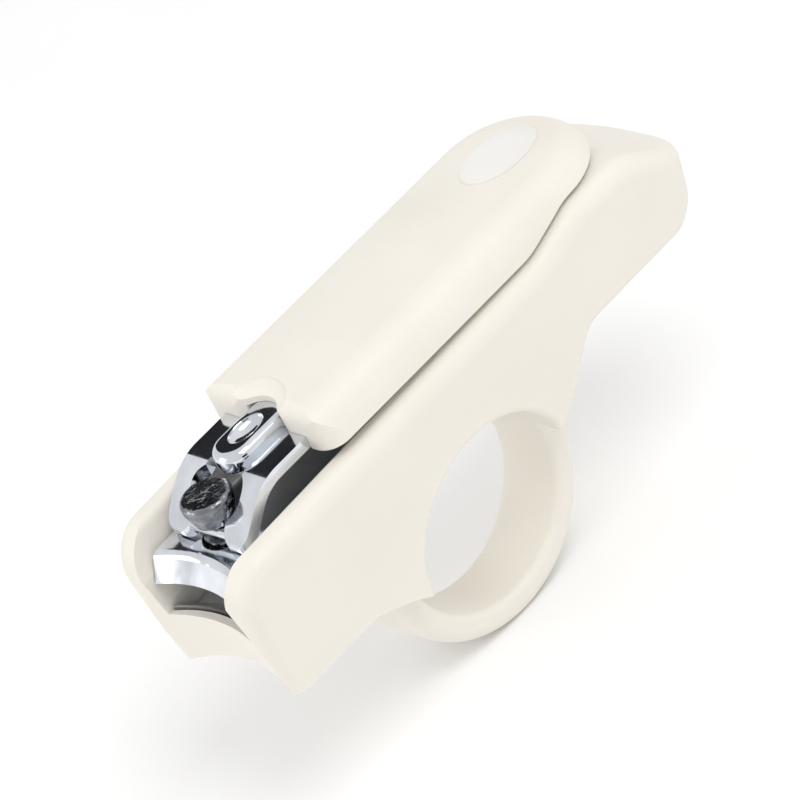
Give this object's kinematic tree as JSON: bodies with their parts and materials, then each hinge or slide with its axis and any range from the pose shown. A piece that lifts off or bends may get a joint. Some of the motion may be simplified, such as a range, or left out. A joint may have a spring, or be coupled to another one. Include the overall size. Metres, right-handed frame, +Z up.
{
  "type": "nail clipper",
  "caption": "Small nail clipper: spring jaws, post and folding lever with a moulded cover, carried in a moulded casing with a finger ring.",
  "frame": {"origin": "centre of the finger ring's bore", "axes": "+X towards the cutting edges, +Y along the ring's bore to the object's left, +Z up towards the lever"},
  "size_m": [0.0661, 0.0198, 0.0375],
  "materials": {
    "casing_plastic": "satin moulded plastic",
    "cover_plastic": "satin moulded plastic",
    "badge_gloss": "glossy pearl",
    "jaw_steel": "polished",
    "lever_steel": "polished",
    "post_steel": "polished",
    "rivet_steel": "plated",
    "screw_steel": "plated"
  },
  "bodies": {
    "holder": {"casing": "casing_plastic", "lower_jaw": "jaw_steel", "jaw_rivet": "rivet_steel", "retaining_screw": "screw_steel"},
    "jaw": {"upper_jaw": "jaw_steel"},
    "pin": {"post": "post_steel"},
    "handle": {"lever": "lever_steel", "lever_cover": "cover_plastic", "cover_badge": "badge_gloss"}
  },
  "joints": [
    {"name": "jaw_squeeze", "type": "hinge", "parent": "holder", "child": "jaw", "pos_m": [-0.017, 0, 0.0157], "axis": [0, 1, 0], "range_deg": [0, 3.9], "stiffness_Nm_per_rad": 3, "springref_deg": -1.72},
    {"name": "post_spin", "type": "hinge", "parent": "holder", "child": "pin", "pos_m": [0.0223, 0, 0], "axis": [0, 0, 1], "range_deg": [-180, 180]},
    {"name": "lever_lift", "type": "hinge", "parent": "pin", "child": "handle", "pos_m": [0.0233, 0, 0.0174], "axis": [0, 1, 0], "range_deg": [0, 135]}
  ]
}
